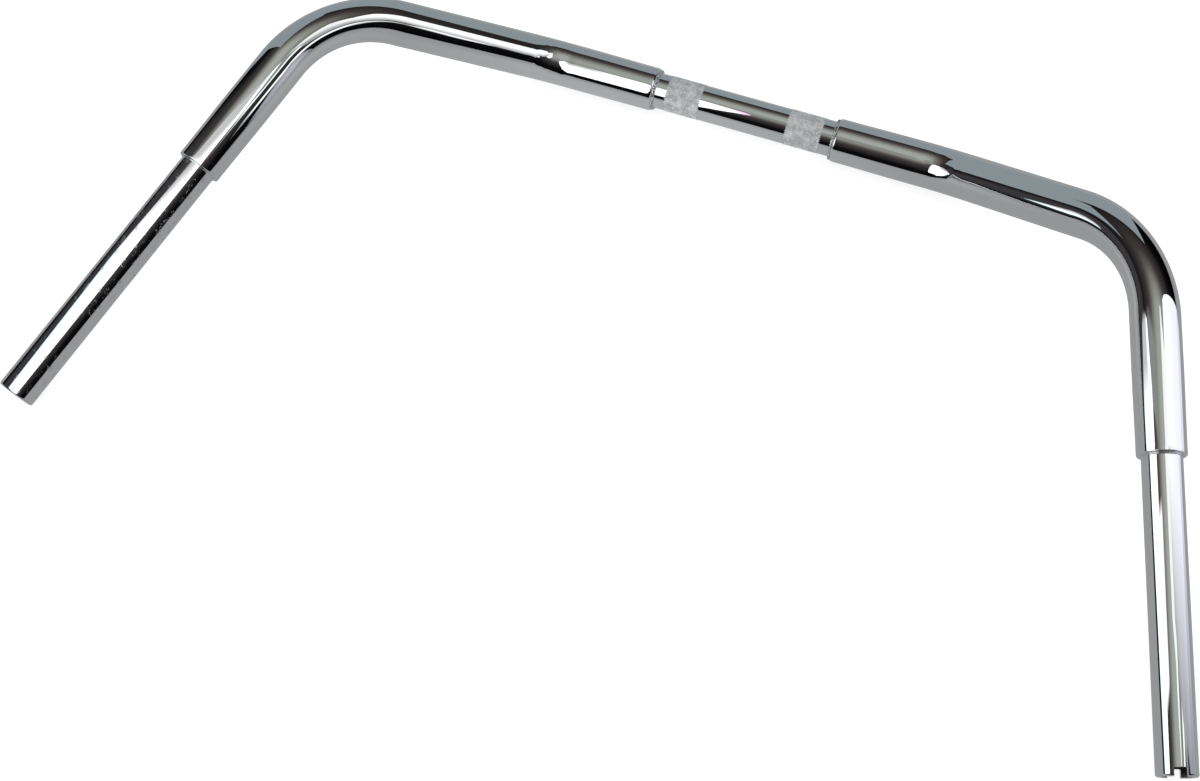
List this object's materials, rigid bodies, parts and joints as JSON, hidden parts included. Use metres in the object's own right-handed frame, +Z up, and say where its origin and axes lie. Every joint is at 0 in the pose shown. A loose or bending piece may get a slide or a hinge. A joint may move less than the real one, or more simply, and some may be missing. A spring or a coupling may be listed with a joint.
{
  "type": "motorcycle handlebar",
  "caption": "Welded chrome-plated handlebar with fat bent tubes, a thin knurled clamp section for risers and thin open grip ends, one slotted for a throttle sensor.",
  "frame": {"origin": "on the floor, under the middle of the bar's box, with the bar lying on its middle and on both grip ends", "axes": "+X along the clamp tube towards the throttle (right) side, +Y away from the rider, +Z up"},
  "size_m": [0.794, 0.3958, 0.0988],
  "materials": {
    "chrome": "polished chrome plate, with a matt rolled knurl on the clamp tube",
    "weld": "chrome plate over an uneven weld bead"
  },
  "bodies": {
    "root": {"center_clamp_tube": "chrome", "left_main_tube": "chrome", "right_main_tube": "chrome", "left_grip_tube": "chrome", "right_grip_tube": "chrome", "left_inner_weld": "weld", "right_inner_weld": "weld", "left_outer_weld": "weld", "right_outer_weld": "weld"}
  },
  "joints": []
}
